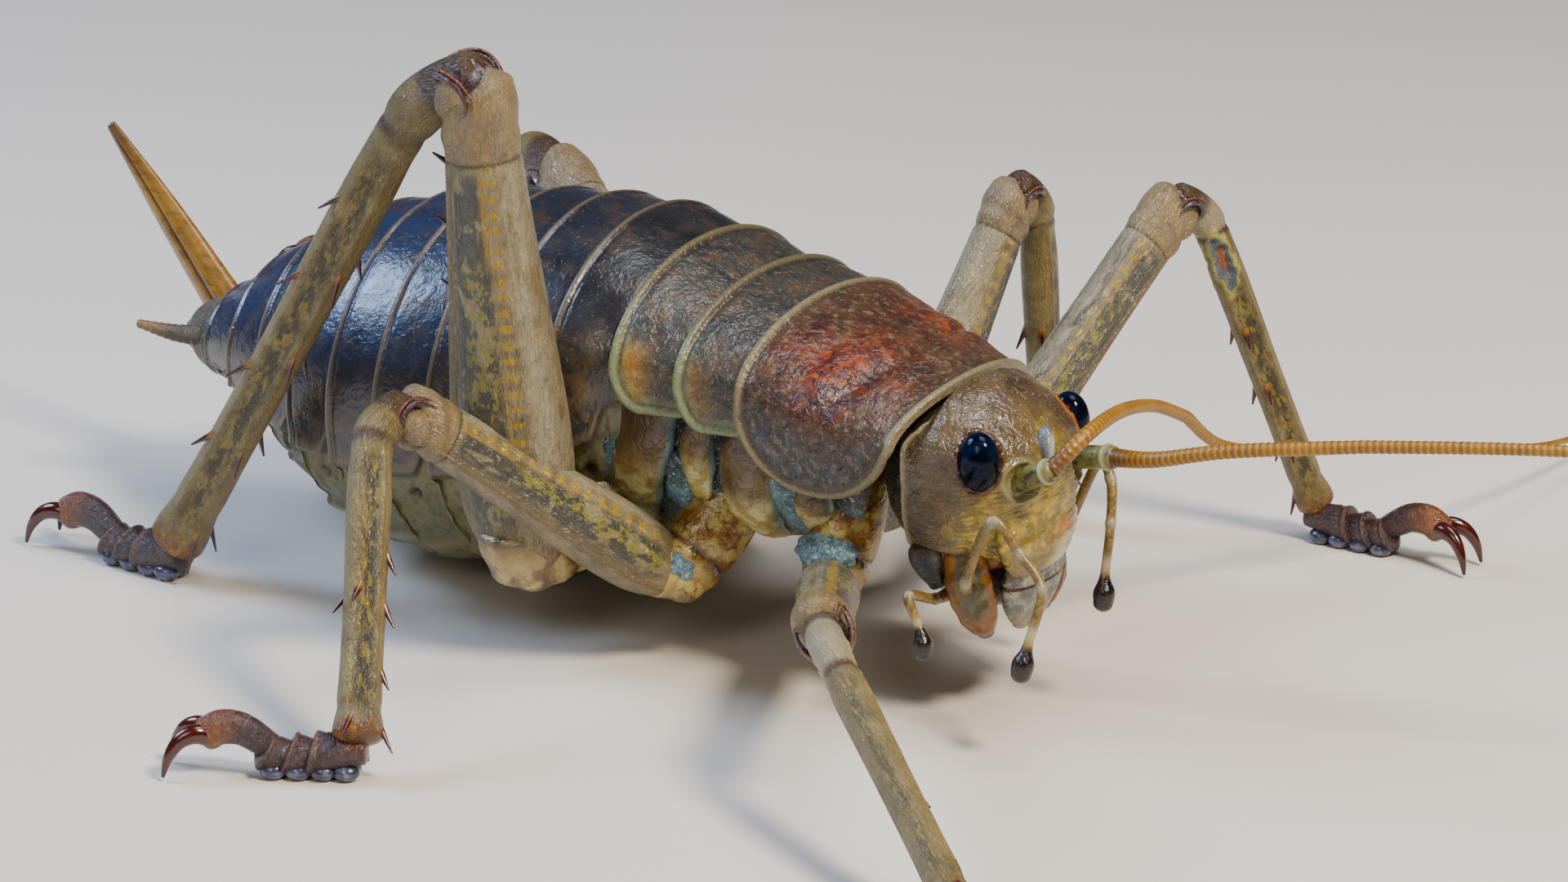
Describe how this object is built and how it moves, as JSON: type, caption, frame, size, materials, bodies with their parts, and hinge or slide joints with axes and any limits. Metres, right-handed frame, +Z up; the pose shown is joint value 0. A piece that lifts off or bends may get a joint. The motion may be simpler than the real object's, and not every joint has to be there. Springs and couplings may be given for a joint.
{
  "type": "wetapunga",
  "caption": "Still life-size model of a live adult female wetapunga, a giant weta, standing on spined legs with long antennae and an upturned ovipositor.",
  "frame": {"origin": "middle of the whole model's box, on the floor that the feet stand on", "axes": "+Z up, head toward -Y, the animal's left side toward +X"},
  "size_m": [0.1018, 0.1738, 0.0405],
  "materials": {
    "head": "wrinkled golden brown cuticle",
    "eye": "glossy blue-black",
    "labrum": "pale grey lip",
    "mandible": "orange-brown, dark at the tips",
    "palp": "pale straw with dark end lobes",
    "antenna": "orange, finely ringed",
    "pronotum": "red-brown marbled shield with a pale rim",
    "thorax_plate": "dark olive plate with a pale green rim",
    "thorax": "tan side plates with blue-grey membranes",
    "abdomen": "dark slate-blue rings, pale olive below",
    "tail": "dark grey",
    "ovipositor": "golden brown blade",
    "coxa": "tan and orange hip pieces",
    "femur": "grey-beige with yellow dashes and dark mottling",
    "tibia": "brown-beige with dark thorns",
    "tarsus": "dark red-brown foot with blue-grey pads and curved claws"
  },
  "bodies": {
    "root": {"head": "head", "eye_right": "eye", "eye_left": "eye", "labrum": "labrum", "mandible_right": "mandible", "mandible_left": "mandible", "palp_maxillary_right": "palp", "palp_maxillary_left": "palp", "palp_labial_right": "palp", "palp_labial_left": "palp", "antenna_left_scape": "antenna", "antenna_left_1": "antenna", "antenna_left_2": "antenna", "antenna_left_3": "antenna", "antenna_right_scape": "antenna", "antenna_right_1": "antenna", "antenna_right_2": "antenna", "antenna_right_3": "antenna", "pronotum": "pronotum", "mesonotum": "thorax_plate", "metanotum": "thorax_plate", "thorax": "thorax", "abdomen_1": "abdomen", "abdomen_2": "abdomen", "abdomen_3": "abdomen", "abdomen_4": "abdomen", "abdomen_5": "abdomen", "abdomen_6": "abdomen", "abdomen_7": "abdomen", "abdomen_8": "abdomen", "abdomen_9": "abdomen", "tail_plate": "tail", "cercus_right": "tail", "cercus_left": "tail", "ovipositor": "ovipositor", "coxa_fore_right": "coxa", "coxa_fore_left": "coxa", "coxa_middle_right": "coxa", "coxa_middle_left": "coxa", "coxa_hind_right": "coxa", "coxa_hind_left": "coxa", "femur_fore_right": "femur", "femur_fore_left": "femur", "femur_middle_right": "femur", "femur_middle_left": "femur", "femur_hind_right": "femur", "femur_hind_left": "femur", "tibia_fore_right": "tibia", "tibia_fore_left": "tibia", "tibia_middle_right": "tibia", "tibia_middle_left": "tibia", "tibia_hind_right": "tibia", "tibia_hind_left": "tibia", "tarsus_fore_right": "tarsus", "tarsus_fore_left": "tarsus", "tarsus_middle_right": "tarsus", "tarsus_middle_left": "tarsus", "tarsus_hind_right": "tarsus", "tarsus_hind_left": "tarsus"}
  },
  "joints": []
}
